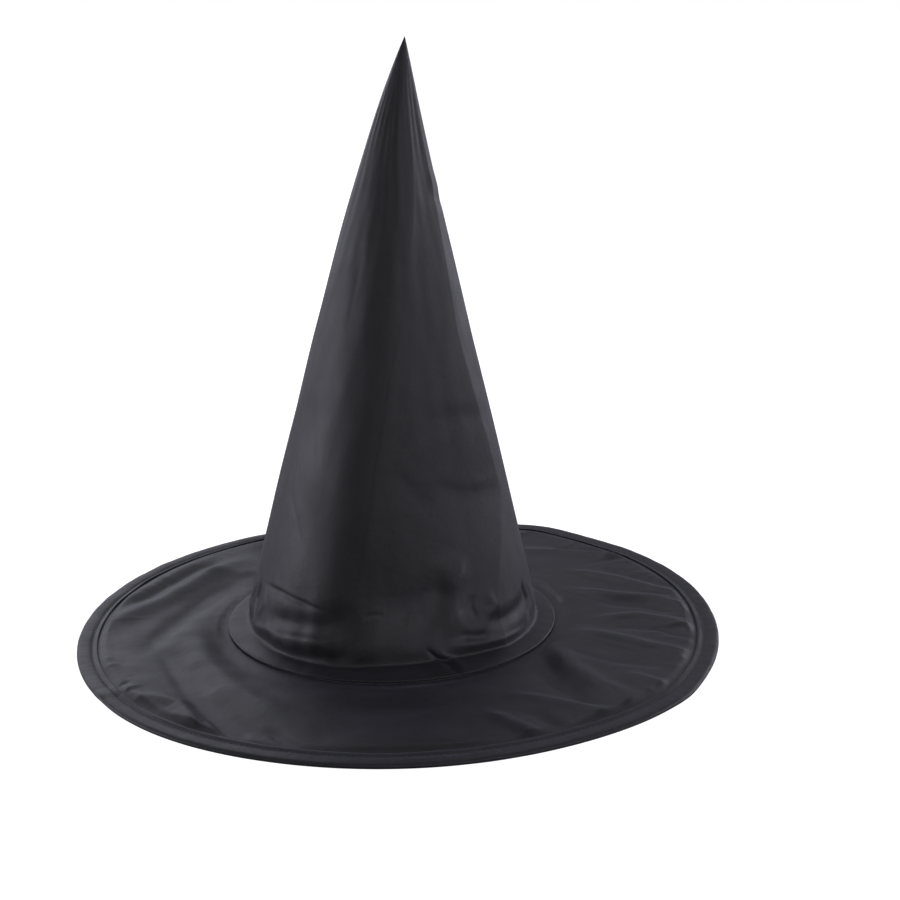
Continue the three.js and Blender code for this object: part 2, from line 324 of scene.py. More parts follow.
def rolled_steel(name, colour):
    """Sprung strip: fine lines along its length and a few darker stains."""
    made, tree, shader = new_material(name)
    links = tree.links
    place = node(tree, "ShaderNodeTexCoord").outputs["Object"]
    stretch = node(tree, "ShaderNodeMapping")
    stretch.inputs["Scale"].default_value = (60, 60, 4000)
    links.new(place, stretch.inputs["Vector"])
    lines = noise(tree, stretch.outputs["Vector"], 1.0, 3.0)
    stains = noise(tree, place, 45.0, 3.0)
    darker = tuple(c * 0.6 for c in colour)
    stained = mix_colour(tree, spread(tree, stains, 0.45, 0.7, 0, 1), colour, darker)
    links.new(stained, shader.inputs["Base Color"])
    links.new(spread(tree, lines, 0.3, 0.7, 0.25, 0.42), shader.inputs["Roughness"])
    links.new(bump(tree, lines, 0.2, 0.00004), shader.inputs["Normal"])
    shader.inputs["Metallic"].default_value = 1.0
    return made


CROWN_SATIN = satin("crown_satin", (0.0085, 0.0085, 0.0102), (0.0145, 0.0145, 0.0175))
BRIM_SATIN = satin("brim_satin", (0.0085, 0.0085, 0.0102), (0.0145, 0.0145, 0.0175))
EDGE_SATIN = satin("binding_satin", (0.0100, 0.0100, 0.0125), (0.0165, 0.0165, 0.0200), yarn=0.42)
LINING = non_woven("interlining", (0.010, 0.010, 0.011))
TAPE = plain_weave("head_tape", (0.010, 0.010, 0.012), (0.022, 0.022, 0.026))
THREAD = spun_thread("sewing_thread", (0.010, 0.010, 0.012))
LABEL = plain_weave("label_tape", (0.62, 0.61, 0.58), (0.78, 0.77, 0.74), yarn=0.3, rough=(0.45, 0.6))
STEEL = rolled_steel("spring_steel", (0.50, 0.51, 0.53))


# ---------------------------------------------------------------- crown
def height_share(z):
    return np.clip((z - FOOT_HEIGHT) / (HAT_HEIGHT - FOOT_HEIGHT), 0, 1)


def wall_radius(z):
    return FOOT_RADIUS * (1 - height_share(z)) ** 0.93


def crown_axis(z):
    s = height_share(z)
    return CROWN_X + TIP_LEAN * s + TIP_HOOK * s**6


def rounded(points, rounds=3):
    """Cuts the corners off a line of points until it runs smoothly, and keeps its two ends."""
    points = np.array(points, float)
    for _ in range(rounds):
        a, b = points[:-1], points[1:]
        cut = np.stack([0.75 * a + 0.25 * b, 0.25 * a + 0.75 * b], axis=1).reshape(-1, 2)
        points = np.vstack([points[:1], cut, points[-1:]])
    return points


def lengths_along(points):
    """How far along a line each of its points is."""
    return np.concatenate([[0], np.cumsum(np.linalg.norm(np.diff(points, axis=0), axis=1))])


def even_round(columns):
    """Degrees round from the front, in so many even steps from -180."""
    return np.linspace(-180, 180, columns + 1)[:-1]


def outward(line):
    """The parts out and up of the unit normal at each point of a line of (radius, height), as columns."""
    slope = np.gradient(line, axis=0)
    slope = slope / np.maximum(np.linalg.norm(slope, axis=1), 1e-9)[:, None]
    return slope[:, 1][:, None], -slope[:, 0][:, None]


def tape_uv(step, azimuth, radius):
    """A tape laid flat, in mm: step across it and the way round along it."""
    length = np.radians(azimuth)[None, :] * radius
    return np.stack(np.broadcast_arrays(step[:, None], length), axis=-1).reshape(-1, 2)


def resampled(points, count=None, spacing=None):
    """Points at even steps along a line, or at the steps that spacing(distance walked) asks for."""
    length = lengths_along(points)
    if spacing is None:
        at = np.linspace(0, length[-1], count)
    else:
        at = [0.0]
        while at[-1] < length[-1]:
            at.append(at[-1] + spacing(at[-1]))
        at = np.array(at) * length[-1] / at[-1]
    return np.stack([np.interp(at, length, points[:, i]) for i in (0, 1)], axis=1)


def crown_profile(spacing):
    """The crown's outer line of (radius, height), from under its turned edge to its point."""
    foot = [(92.5, 5.3), (94.6, 5.4), (95.8, 5.5), (96.2, 5.9), (95.6, 6.5), (93.4, 7.0), (90.4, 7.4),
            (87.6, 7.8), (85.8, 8.1), (84.8, 9.0), (84.5, 11.5), (84.5, 15.0), (83.9, 19.0), (82.6, 24.0)]
    rise = [(float(wall_radius(z)), z) for z in (28, 33, *range(40, 330, 10), 332, 337)]
    return resampled(rounded(foot + rise + [(0.0, HAT_HEIGHT)]), spacing=spacing)


def eased(z, heights, values, reach=9.0):
    """Values at given heights, joined by a line with soft corners."""
    return sum(np.interp(z + d * reach, heights, values) for d in (-1, -0.5, 0, 0.5, 1)) / 5


def chord(t):
    """0 at both ends of a panel and 1 at its middle: a flat panel sags this much below a round wall."""
    t = np.clip(t, 0, 1)
    return 4 * t * (1 - t)


# Each fold of the crown's wall: height in mm (below 0 is a crease), width on its left and on its right,
# sharpness, and its path through (degrees round from the front, height).
CROWN_FOLDS = [
    # the long fold down the front
    (-0.35, 6, 2, 2, [(-17, 8), (-17, 50), (-14, 78), (-11, 115), (-6, 150), (2, 187), (14, 223), (25, 245)]),
    # left: a tuck over the foot, with a pouch below it
    (-0.7, 0.9, 1.8, 1.5, [(-72, 39), (-62, 40), (-50, 41), (-40, 40), (-24, 37)]),
    (0.4, 5, 7, 2, [(-72, 30), (-56, 34), (-38, 35)]),
    (-1.3, 5, 5.5, 2, [(-62, 22), (-46, 27), (-30, 29), (-12, 34)]),
    (0.8, 2.2, 6, 2, [(-86, 9), (-68, 14), (-59, 17), (-50, 18), (-39, 20), (-10, 24)]),
    (-0.5, 3.5, 3, 2, [(-40, 11), (-28, 12), (-12, 15)]),
    (-1.5, 2.2, 1.8, 1.8, [(-74, 40), (-77, 26), (-75, 15), (-73, 10)]),
    (0.7, 1.8, 1.8, 1.8, [(-67, 38), (-66, 29), (-70, 19)]),
    (0.7, 1.8, 1.8, 1.8, [(-84, 13), (-83, 26), (-79, 40)]),
    # the hollow where the long fold runs into the foot
    (-1.5, 9, 9, 2, [(-24, 46), (-22, 32), (-18, 18), (-14, 10)]),
    (-0.4, 0.8, 1, 1.4, [(-13, 35), (-8, 35.6), (-3, 35.4)]),
    # right: a slanting wedge, and the round pouch beside it
    (-0.9, 6, 9, 2, [(33, 58), (19, 47), (6, 36), (-4, 28)]),
    (-1.6, 7, 7, 2, [(29, 50), (23, 40), (17, 30), (18, 20)]),
    (2.4, 5, 13, 1.8, [(37, 64), (31, 48), (28, 34), (29, 18)]),
    (-0.7, 1.2, 2.2, 1.6, [(38, 41), (36, 34), (38, 26)]),
    (0.8, 2.4, 3.5, 1.8, [(43, 43), (46, 33), (42, 25)]),
    (-0.9, 2.4, 3.6, 2, [(28, 21), (33, 19), (37, 18), (42, 18.5)]),
    (-1.4, 5, 4, 2, [(70, 29), (60, 25), (49, 24), (40, 25)]),
    (1.1, 1.8, 4.5, 1.8, [(20, 17), (29, 16), (40, 14), (54, 13), (68, 12)]),
    (-1.1, 1.2, 1.2, 1.6, [(13, 17), (15, 14.5), (18, 10), (25, 5)]),
    (0.6, 1.5, 1.8, 1.8, [(19, 15), (21, 11), (27, 8)]),
    (-1.4, 1.6, 2, 1.8, [(67, 38), (71, 25), (69, 12)]),
    (0.7, 1.6, 1.8, 1.9, [(77, 13), (77, 25), (74, 36)]),
    # soft creases higher up
    (-0.4, 4, 9, 2, [(12, 135), (34, 139), (58, 136), (80, 128)]),
    (-0.5, 2.2, 3.2, 1.6, [(52, 255), (72, 253), (100, 249)]),
    (0.4, 5, 5, 2, [(50, 262), (70, 262), (95, 259)]),
    (-0.4, 2.5, 2.5, 1.8, [(-60, 152), (-48, 128), (-42, 108)]),
    (-0.35, 2, 3, 1.8, [(-66, 98), (-52, 82), (-44, 66)]),
    (-0.25, 2.5, 2.5, 1.8, [(-30, 236), (-36, 205), (-38, 178)]),
    (-0.4, 3.5, 8, 2, [(20, 104), (42, 94), (70, 92)]),
    (-0.3, 4, 6, 2, [(-6, 118), (12, 100), (28, 86)]),
    # the back, from 90 to 270 degrees
    (-2, 4, 5, 2, [(96, 24), (108, 27), (121, 26)]),
    (1.5, 1.8, 4, 1.8, [(92, 14), (106, 16), (124, 15)]),
    (-0.9, 1.1, 1.6, 1.5, [(98, 40), (112, 43), (128, 38)]),
    (-1.7, 4, 4, 2, [(136, 20), (142, 34), (140, 50)]),
    (1.2, 3, 3, 2, [(150, 18), (152, 32), (149, 46)]),
    (-1.2, 1.6, 1.6, 1.6, [(163, 13), (165, 26), (160, 40)]),
    (-1.9, 4.5, 4.5, 2, [(193, 24), (206, 26), (220, 23)]),
    (1.5, 1.8, 4, 1.8, [(190, 14), (205, 15), (222, 14)]),
    (-1.3, 1.5, 1.5, 1.5, [(228, 14), (231, 28), (226, 44)]),
    (-1.7, 4, 4, 2, [(238, 26), (250, 29), (262, 26)]),
    (-1, 11, 6, 2, [(222, 30), (218, 90), (214, 150), (208, 210)]),
    (-0.9, 7, 12, 2, [(128, 40), (133, 100), (140, 160), (150, 215)]),
    (-0.5, 2.5, 3.5, 1.7, [(230, 122), (246, 116), (262, 119)]),
    (-0.5, 2.5, 3.5, 1.7, [(102, 168), (120, 162), (136, 166)]),
]


def back_seam(x, z):
    """The pressed groove of the back seam, and the cloth drawn up by its stitches."""
    groove = -0.5 * np.exp(-((x / 0.55) ** 2)) + 0.22 * np.exp(-(((np.abs(x) - 1.6) / 1.1) ** 2))
    rng = np.random.default_rng(21)
    pucker = np.zeros(x.shape)
    for wave in rng.uniform(6.0, 15.0, 7):
        pucker = pucker + np.sin(2 * math.pi * z / wave + rng.uniform(0, 6.28) + np.sign(x) * 0.6)
    return groove + 0.09 * pucker * np.exp(-np.abs(x) / 5.0)


ROLL_ROUND = 14  # degrees over which the wall rolls in to the front panel's left line
ROLL_DEPTH = 3  # mm that it has sunk by there
PANEL_WIDTH = 96  # mm from the panel's left line to its right line, at the foot


def front_panel(azimuth, left, right):
    """The front's nearly flat panel: the wall rolls softly in to its left line, then turns at that line."""
    roll = np.clip((azimuth - left + ROLL_ROUND) / ROLL_ROUND, 0, 1)
    t = (azimuth - left) / (right - left)
    # across the panel the depth goes on growing at first, and is back to nothing at the right line
    depth = np.where(t < 0, ROLL_DEPTH * roll**2, ROLL_DEPTH + PANEL_WIDTH * (0.40 * t - 0.4313 * t * t))
    return 0.5 * (depth + np.sqrt(depth**2 + 0.04)) * np.where(t > 1, np.exp(-(((t - 1) / 0.05) ** 2)), 1.0)


def crown_sink(azimuth, z):
    """How far the crown's flat panels lie inside its round form, in mm, at each (degrees round, height)."""
    size = np.maximum(wall_radius(z), 0.01) / FOOT_RADIUS
    left = eased(z, [10, 50, 75, 115, 150, 187, 223, 250, 340], [-17, -17, -14, -11, -6, 2, 14, 25, 38])
    right_heights = [10, 40, 55, 70, 84, 101, 126, 155, 183, 230, 340]
    right = eased(z, right_heights, [48, 48, 54, 61, 67, 67, 64, 59, 55, 60, 66])
    round_it = np.where(azimuth < 0, azimuth + 360, azimuth)
    front = (0.5 + 0.5 * smooth((z - 10) / 36)) * (1 - 0.62 * smooth((z - 80) / 130))
    front = front * front_panel(azimuth, left, right)
    others = 2.0 * chord((azimuth + 100) / (left + 74)) ** 1.5
    others = others + 2.8 * chord((round_it - 108) / 62) ** 1.3 + 3.2 * chord((round_it - 190) / 64) ** 1.3
    return size * smooth((338 - z) / 30) * (front + others)


def crown_relief(azimuth, z):
    """How far the crown's cloth stands out of its panels, in mm, at each (degrees round, height)."""
    radius = np.maximum(wall_radius(z), 0.01)
    size = radius / FOOT_RADIUS
    high = smooth((z - 8) / 8) * smooth((338 - z) / 30)
    round_it = np.where(azimuth < 0, azimuth + 360, azimuth)
    x, x_back = np.radians(azimuth) * radius, np.radians(round_it) * radius
    out = np.zeros(x.shape)
    for height, wide, other, sharp, path in CROWN_FOLDS:
        back = max(a for a, _ in path) > 150 or min(a for a, _ in path) > 90
        line = [(math.radians(a) * float(wall_radius(h)), h) for a, h in path]
        out = out + stroke(x_back if back else x, z, line, height, wide, other, sharp)
    angle = np.radians(azimuth)
    out = out + 0.45 * size * high * waves(3, 7, angle, z, 260, 14)
    out = out + 0.16 * high * waves(5, 26, angle, z, 60, 22, low=5)
    gathers = smooth((z - 8) / 8) * smooth((74 - z) / 60)
    out = out + 0.22 * gathers * waves(9, 44, angle, z, 170, 22, low=16)
    lip = smooth((z - 5.5) / 3) * smooth((20 - z) / 8)
    out = out + 0.45 * lip * waves(11, 16, angle, z, 60, 16, low=2)
    edge = smooth((9.5 - z) / 4)
    out = out + 0.10 * edge * waves(12, 60, angle, z, 200, 18, low=20)
    out = out * smooth((z - 5.0) / 2.5)
    seam_x = (round_it - 180) * math.pi / 180 * radius
    return out + back_seam(seam_x, z) * smooth((z - 5) / 4) * smooth((336 - z) / 20)


def columns_round(count, finer=()):
    """Degrees from -180 to 180, closer together round the given places."""
    fine = np.linspace(-180, 180, 7201)
    density = np.ones(fine.shape)
    for centre, reach, gain in finer:
        off = np.abs((fine - centre + 180) % 360 - 180)
        density += gain * np.exp(-((off / reach) ** 2))
    total = np.concatenate([[0], np.cumsum((density[1:] + density[:-1]) / 2)])
    return np.interp(np.linspace(0, total[-1], count + 1)[:-1], total, fine)


def crown_points(azimuth, profile, depth):
    """The crown's surface at a depth in mm below its outer face: arrays of (row, column)."""
    r, z = profile[:, 0][:, None], profile[:, 1][:, None]
    normal_r, normal_z = outward(profile)
    a = azimuth[None, :]
    grid_a, grid_z = np.broadcast_arrays(a, z)
    lift = crown_relief(grid_a, grid_z) - depth
    lift = lift * smooth((HAT_HEIGHT - grid_z) / 6) if depth == 0 else lift
    # the ledge round the foot widens inwards as far as the panels sink
    sunk = crown_sink(grid_a, grid_z) * np.where(z > 12, 1.0, np.clip((96 - r) / 11.0, 0, 1))
    radius = np.maximum(r - sunk + normal_r * lift, 0.02)
    height = z + normal_z * lift
    angle = np.radians(a)
    x = crown_axis(height) + radius * np.sin(angle)
    y = -radius * np.cos(angle)
    return np.stack([x, y, height], axis=-1)


def cone_uv(azimuth, profile):
    """The cut of the cloth laid flat, in mm: rays of the sector run up, so that the yarns run straight."""
    step = lengths_along(profile)
    left = step[-1] - step
    turn = np.radians(azimuth)[None, :] * (SEAM_RADIUS / step[-1])
    return np.stack([left[:, None] * np.sin(turn), -left[:, None] * np.cos(turn)], axis=-1)


def make_crown():
    azimuth = columns_round(620, finer=[(180, 1.2, 3.0), (-20, 60, 0.5), (40, 50, 0.5)])
    profile = crown_profile(lambda s: 0.62 if s < 22 else (1.0 if s < 75 else 1.9))
    points = crown_points(azimuth, profile, 0.0)
    uv = cone_uv(azimuth, profile)
    rows, cols = points.shape[:2]
    # the last row is the point itself
    vertices = np.vstack([points[:-1].reshape(-1, 3), points[-1].mean(axis=0)[None]])
    uvs = np.vstack([uv[:-1].reshape(-1, 2), [[0, 0]]])
    faces = grid_faces(rows - 1, cols).tolist()
    last = (rows - 2) * cols
    faces += [[last + c, last + (c + 1) % cols, (rows - 1) * cols] for c in range(cols)]
    crown = make_object("crown", vertices, faces, CROWN_SATIN, uvs)
    solidify(crown, CLOTH)
    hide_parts("crown_cloth")
    return crown


make_crown()


# ---------------------------------------------------------------- inside the crown
WALL_GAP = 0.15
LINING_THICK = 0.55
LINING_TOP = 312


def make_lining():
    """The stiff inside of the crown. It follows each fold of the cloth that it is fused to."""
    azimuth = columns_round(300, finer=[(180, 2.0, 2.0)])
    full = crown_profile(lambda s: 0.62 if s < 22 else 2.4)
    profile = full[(full[:, 1] >= FOOT_HEIGHT + 2) & (full[:, 1] <= LINING_TOP)]
    points = crown_points(azimuth, profile, CLOTH + WALL_GAP)
    rows, cols = points.shape[:2]
    uv = cone_uv(azimuth, profile)
    lining = make_object("crown_lining", points.reshape(-1, 3), grid_faces(rows, cols), LINING,
                         uv.reshape(-1, 2))
    solidify(lining, LINING_THICK)
    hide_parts("crown_interlining")


def inner_wall(x_off, z, depth):
    """A point on the crown's inside near the back seam, x_off mm to the side of it."""
    radius = float(wall_radius(z))
    azimuth = 180 - math.degrees(x_off / radius)
    place = np.array([[azimuth]]), np.array([[float(z)]])
    relief = float(crown_relief(*place)[0, 0]) - float(crown_sink(*place)[0, 0])
    r = radius + relief - depth
    angle = math.radians(azimuth)
    return (float(crown_axis(z)) + r * math.sin(angle), -r * math.cos(angle))


def make_crown_seam():
    """The back seam's two raw edges, pressed open, and the stitches between them."""
    depth = CLOTH + WALL_GAP + LINING_THICK + 0.35
    rng = np.random.default_rng(31)
    heights = np.arange(19.0, 284.0, 1.6)
    across = np.array([-4.6, -4.0, -3.0, -1.6, -0.5, 0.0, 0.5, 1.6, 3.0, 4.0, 4.6])
    fray = rng.uniform(-0.35, 0.35, (len(heights), 2))
    points, uv = [], []
    for i, z in enumerate(heights):
        for off in across:
            edge = abs(off) > 3.5
            narrow = 1.0 if z < 240 else max(0.35, 1 - (z - 240) / 70)
            o = (off + (fray[i, int(off > 0)] if edge else 0)) * narrow
            standing = 0.15 + 0.75 * math.exp(-((off / 0.9) ** 2)) + (0.55 if edge else 0.0)
            ripple = 0.25 * math.sin(z * 0.55 + off) * abs(off) / 4
            x, y = inner_wall(o, z, depth + standing + ripple)
            points.append((x, y, z))
            uv.append((off, z))
    faces = grid_faces(len(heights), len(across), close_columns=False)
    allowance = make_object("crown_seam_allowance_cloth", points, faces, CROWN_SATIN, uv)
    solidify(allowance, 0.35, 0.0)
    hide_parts("crown_seam_allowance")
    pitch = 2.8
    marks = []
    for z in np.arange(24, 278, pitch):
        top = z + pitch * 0.82
        marks.append(((*inner_wall(0.15, z, depth + 1.35), z), (*inner_wall(-0.15, top, depth + 1.35), top)))
    stitches = stitch_row("crown_seam_stitches", marks, 0.2, inward=(0, -1, 0))
    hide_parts("crown_seam_stitching")


# ---------------------------------------------------------------- stitches
def stitch_row(name, marks, radius, inward=(0, 0, 1)):
    """One small bowed thread for each pair of ends. inward is the way each stitch stands off its cloth."""
    sides, rings = 6, 7
    vertices, faces, uv = [], [], []
    lift = np.array(inward, float)
    for start, end in marks:
        start, end = np.array(start), np.array(end)
        ahead = end - start
        length = np.linalg.norm(ahead)
        ahead = ahead / length
        side = np.cross(ahead, lift)
        side = side / np.linalg.norm(side)
        over = np.cross(side, ahead)
        first = len(vertices)
        for ring in range(rings):
            t = ring / (rings - 1)
            swell = math.sqrt(max(0.0, 1 - (2 * t - 1) ** 4))
            centre = start + ahead * length * t + over * radius * 1.1 * (swell - 0.75)
            thick = radius * max(0.12, swell)
            for s in range(sides):
                a = 2 * math.pi * s / sides
                vertices.append(centre + side * thick * math.cos(a) + over * thick * math.sin(a))
                uv.append((s / sides, t * length))
        faces += (grid_faces(rings, sides)[:, ::-1] + first).tolist()
        faces.append([first + s for s in range(sides)])
        faces.append([first + (rings - 1) * sides + s for s in reversed(range(sides))])
    return make_object(name, vertices, faces, THREAD, uv)


# ---------------------------------------------------------------- brim
def beside(azimuth, centre, reach):
    """1 at one place round the brim, falling to 0 within about twice the reach, all in degrees."""
    off = (np.asarray(azimuth, float) - centre + 180) % 360 - 180
    return np.exp(-((off / reach) ** 2))


def outline(azimuth):
    """How far the brim's edge stands out of a true circle, in mm: the hoop springs it out of round."""
    bends = [(-2.4, -92, 30), (-4.4, 88, 26), (1.5, -42, 20), (1.8, 47, 14), (0.9, 53, 5), (-0.9, 133, 4),
             (-1.2, 180, 40), (0.5, 147, 5)]
    return sum(size * beside(azimuth, centre, reach) for size, centre, reach in bends)


def edge_height(azimuth):
    """How far the brim's edge is raised off the surface, in mm."""
    a = np.asarray(azimuth, float)
    wavy = 0.5 * (1 + waves(41, 6, np.radians(a), np.zeros(a.shape), 100, 8, low=2))
    raised = 1.5 * beside(a, 148, 7) + 0.6 * beside(a, 133, 9) + 0.5 * beside(a, -59, 4)
    return 0.35 * np.clip(wavy, 0, 2) + raised


def brim_place(azimuth, radius, height):
    """Puts a point of the round flat brim where the real one is: out of round, and shifted with the crown."""
    angle = np.radians(azimuth)
    outwards = smooth((radius - 100) / (BRIM_RADIUS - 100))
    r = radius + outline(azimuth) * outwards
    inwards = np.clip((BRIM_HIGH.x / MM - radius) / (BRIM_HIGH.x / MM - SEAM_RADIUS + 1), 0, 1)
    z = height + edge_height(azimuth) * smooth((radius - 130) / 55)
    x, y = r * np.sin(angle) + CROWN_X * inwards, -r * np.cos(angle)
    return np.stack(np.broadcast_arrays(x, y, z), axis=-1)


# Each fold of the brim: height in mm, width on its left and on its right, sharpness, and its path through
# (degrees round from the front, distance from the middle).
BRIM_FOLDS = [
    # the broad rolls at the left
    (3.2, 9, 10, 2, [(-82, 188), (-92, 170), (-105, 148), (-123, 144), (-144, 150)]),
    (-1.5, 5, 5, 2, [(-96, 172), (-108, 158), (-122, 155), (-138, 160)]),
    (2, 6, 7, 2, [(-92, 184), (-106, 171), (-121, 167), (-138, 172)]),
    (-2.4, 8, 8, 2, [(-70, 158), (-84, 136), (-96, 124), (-113, 118), (-134, 124)]),
    (2.4, 10, 12, 2, [(-98, 108), (-80, 116), (-61, 122), (-43, 131), (-28, 143), (-16, 158)]),
    (-1, 5, 7, 2, [(-80, 103), (-56, 105), (-34, 108), (-16, 110)]),
    # the deep fold that bends down to the edge, and the pinches beside it
    (-3.4, 8, 7, 2, [(-80, 146), (-69, 138), (-58, 138), (-46, 149), (-35, 163), (-25, 178), (-16, 188)]),
    (2.2, 5.5, 6.5, 2, [(-58, 182), (-51, 166), (-46, 161), (-40, 169), (-35, 180), (-32, 190)]),
    (1.4, 2.2, 2.6, 2, [(-39, 164), (-35, 170), (-31, 178), (-29, 188)]),
    (-1.2, 1.6, 2.2, 1.8, [(-35, 166), (-31, 173), (-27, 188)]),
    (1.3, 2.4, 2.8, 2, [(-29, 168), (-25, 175), (-22, 181), (-20, 188)]),
    (-1.6, 3.5, 4, 2, [(-26, 160), (-20, 172), (-14, 184)]),
    (0.8, 2.4, 2.6, 2, [(-58, 163), (-58, 175), (-57, 188)]),
    (-0.9, 1.5, 1.8, 1.6, [(-61, 166), (-60, 176), (-60, 187)]),
    (1.1, 2.2, 2.4, 2, [(-52, 172), (-55, 180), (-57, 188)]),
    (0.6, 2.6, 2.6, 2, [(-73, 168), (-74, 178), (-76, 188)]),
    (0.5, 2.6, 2.6, 2, [(-70, 166), (-70, 178), (-69, 188)]),
    # the front
    (-1.2, 12, 12, 2, [(-22, 128), (-4, 130), (16, 122)]),
    (0.9, 12, 10, 2, [(-14, 172), (2, 166), (18, 172)]),
    (1.6, 5, 5, 2, [(17, 138), (20, 150), (22, 168), (22, 187)]),
    (-1.4, 5, 5, 2, [(25, 142), (27, 158), (27, 176), (26, 188)]),
    # long soft folds that run out from the crown at the right
    (1.7, 5, 5, 2, [(24, 126), (30, 138), (34, 154), (37, 172), (41, 188)]),
    (2.6, 7.5, 6.5, 2, [(66, 97), (58, 108), (50, 124), (45, 150), (44, 172), (45, 188)]),
    (-2.2, 6.5, 6.5, 2, [(56, 97), (46, 112), (40, 132), (38, 158), (38, 180)]),
    (2.4, 6, 5, 2, [(74, 97), (74, 112), (71, 140), (68, 165), (64, 186)]),
    (-2.2, 6.5, 6, 2, [(62, 106), (61, 122), (60, 140), (61, 158), (62, 174)]),
    (1.5, 4, 4, 2, [(54, 150), (53, 168), (53, 187)]),
    (2, 5, 4.5, 2, [(84, 108), (85, 124), (87, 145), (84, 162), (78, 186)]),
    (-1.8, 4.5, 4.5, 2, [(78, 124), (80, 140), (80, 156), (75, 178)]),
    (2.2, 5, 5, 2, [(112, 104), (106, 120), (101, 138), (98, 158), (91, 178), (88, 187)]),
    (-1.8, 5, 5, 2, [(100, 118), (96, 134), (94, 150), (88, 172)]),
    (2, 4.5, 4.5, 2, [(126, 128), (118, 138), (111, 150), (103, 164), (97, 186)]),
    (-1.7, 4, 4.5, 2, [(122, 146), (116, 156), (108, 168), (101, 182)]),
    (1.8, 5, 5, 2, [(150, 134), (142, 142), (134, 155), (126, 168), (120, 186)]),
    (-1.3, 4, 4, 2, [(140, 152), (131, 166), (125, 182)]),
    # the cloth caught up close behind the lip at the right
    (-1.6, 3.5, 3.5, 2, [(130, 103), (118, 101), (104, 100), (92, 100)]),
    (1, 5, 7, 2, [(132, 112), (118, 109), (104, 107), (92, 106)]),
    (1, 3.6, 3.6, 2, [(170, 128), (158, 146), (150, 166), (147, 187)]),
    # the back
    (1.6, 7, 8, 2, [(-166, 118), (-160, 142), (-158, 168), (-158, 187)]),
    (-1.3, 6, 6, 2, [(-150, 120), (-146, 146), (-148, 172)]),
    (1.2, 6, 7, 2, [(-134, 112), (-128, 138), (-124, 160)]),
]


def brim_line(path):
    return [(r * math.sin(math.radians(a)), -r * math.cos(math.radians(a))) for a, r in path]


def edge_puckers(x, y):
    """Short creases that run in from the bound edge, most of them at the right."""
    rng = np.random.default_rng(17)
    out = np.zeros(x.shape)
    groups = ((72, 34, 30), (118, 26, 18), (-52, 26, 12), (-110, 34, 9), (-160, 40, 9), (8, 24, 6))
    for centre, reach, count in groups:
        for _ in range(count):
            a = centre + rng.uniform(-1, 1) * reach
            long = rng.uniform(9, 34)
            slant = rng.uniform(-5, 5)
            height = rng.choice([-1, 1], p=[0.42, 0.58]) * rng.uniform(0.15, 0.45)
            height = height * (1.0 if a > 0 else 0.5)
            wide = rng.uniform(1.7, 3.6)
            bend = (a + slant * 0.35, 180 - long * 0.5)
            path = brim_line([(a + slant, 178 - long * 1.2), bend, (a, 183)])
            out = out + stroke(x, y, path, height, wide, wide * rng.uniform(0.8, 1.7), 1.8, fade=0.45)
    return out


def brim_relief(azimuth, radius):
    """How far the brim's top cloth stands out of a flat disc, in mm."""
    angle = np.radians(azimuth)
    x, y = radius * np.sin(angle), -radius * np.cos(angle)
    out = np.zeros(x.shape)
    for height, wide, other, sharp, path in BRIM_FOLDS:
        out = out + stroke(x, y, brim_line(path), height, wide, other, sharp, fade=0.32)
    out = out + edge_puckers(x, y)
    out = out + 0.40 * waves(43, 9, angle, radius, 90, 14, low=2)
    out = out + 0.14 * waves(47, 34, angle, radius, 40, 22, low=8)
    # drawn up a little round the head seam, where it is eased on to the crown
    near_seam = np.exp(-(((radius - 99) / 6.0) ** 2))
    out = out + 0.22 * near_seam * waves(53, 60, angle, radius, 60, 20, low=18)
    return out


def stitch_pull(azimuth, radius, count, wide=0.8):
    """1 where a stitch goes down into its hole, 0 elsewhere along its row."""
    turn = (azimuth / 360 * count) % 1.0
    along = np.exp(-((np.minimum(turn, 1 - turn) / 0.17) ** 2))
    return along * np.exp(-(((radius - STITCH_RADIUS) / wide) ** 2))


EDGE_STITCHES = 368
PLY_FIRST = SEAM_RADIUS - 1


def ply_level(level, radius):
    """A ply's height at a radius: level at the edge, rising by the CAD's lift to the seam."""
    outer = BRIM_HIGH.x / MM
    inwards = np.clip((outer - radius) / (outer - PLY_FIRST), 0, 1)
    return level + 2.0 * inwards**2


def make_ply(name, node_name, material, level, thickness, columns, spacing, relief):
    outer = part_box(node_name)[1].x / MM - 0.1
    radii = np.arange(PLY_FIRST + 0.2, outer, spacing)
    radii = np.append(radii, outer)
    azimuth = even_round(columns)
    grid_a, grid_r = np.meshgrid(azimuth, radii)
    height = ply_level(level, grid_r) + relief(grid_a, grid_r)
    points = brim_place(grid_a, grid_r, height)
    uv = points[..., :2].reshape(-1, 2)
    faces = grid_faces(len(radii), columns)[:, ::-1]
    ply = make_object(name, points.reshape(-1, 3), faces, material, uv)
    solidify(ply, thickness)
    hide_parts(node_name)


def top_relief(azimuth, radius):
    held = smooth((radius - 97) / 7) * smooth((179.0 - radius) / 7)
    fade = np.maximum(held, 0.10)
    raised = brim_relief(azimuth, radius) * fade
    # the board under it is stiff, so the cloth only ever stands away from the board
    slack = 0.5 + 1.3 * smooth((radius - 99) / 26) * smooth((187 - radius) / 16)
    out = np.log1p(np.exp((raised + slack) * 2.0)) / 2.0 * held + 0.05 * (1 - held)
    return out - 0.12 * stitch_pull(azimuth, radius, EDGE_STITCHES)


def calm(azimuth, radius):
    return np.zeros(np.broadcast(azimuth, radius).shape)


def under_relief(azimuth, radius):
    """The under cloth sags a little between the board and the table."""
    held = smooth((radius - 98) / 14) * smooth((180 - radius) / 14)
    angle = np.radians(azimuth)
    slack = 0.35 + 0.45 * waves(61, 14, angle, radius, 120, 16, low=2)
    slack = slack + 0.12 * waves(67, 40, angle, radius, 60, 18, low=12)
    room = np.clip((190 - radius) / 80, 0.15, 1)
    return -np.clip(slack, 0.0, 1.6) * held * room


